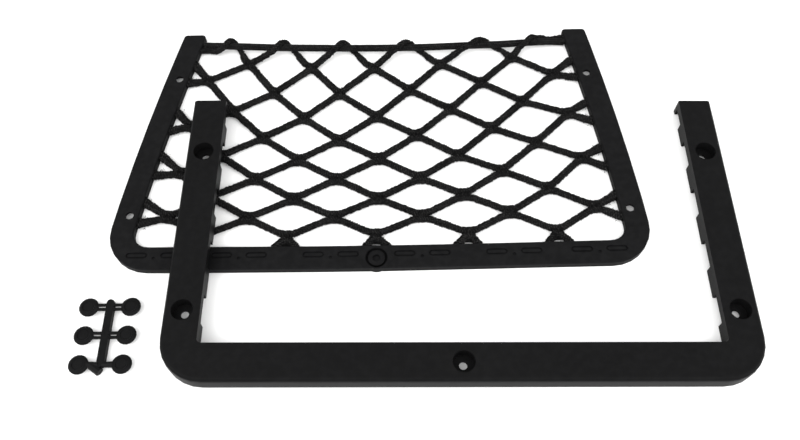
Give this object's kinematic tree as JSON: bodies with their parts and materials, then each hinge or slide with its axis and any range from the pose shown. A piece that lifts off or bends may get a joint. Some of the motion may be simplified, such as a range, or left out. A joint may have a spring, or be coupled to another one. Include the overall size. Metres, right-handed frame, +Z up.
{
  "type": "framed cargo net: elastic net in a U-shaped net frame, with its cover frame and a sprue of screw caps",
  "caption": "Elastic diamond net held in a flat U-shaped frame with an open, corded top, shown with the channel-shaped cover frame that screws over it and the screw caps on their sprue.",
  "frame": {"origin": "on the surface that the layout rests on, under the middle of its bounding box", "axes": "+X along the frames' bottom rails, to the right in the picture; +Y up the frames' arms, away from the camera; +Z up from the surface"},
  "size_m": [0.4642, 0.3058, 0.0194],
  "materials": {
    "grained_black_plastic": "finely grained, slightly uneven moulded surface",
    "satin_black_plastic": "smooth satin moulded surface",
    "black_elastic": "braided elastic cord, matt"
  },
  "bodies": {
    "root": {"net_frame": "grained_black_plastic", "net": "black_elastic", "top_cord": "black_elastic", "cover_frame": "satin_black_plastic", "cap_sprue": "satin_black_plastic"}
  },
  "joints": []
}
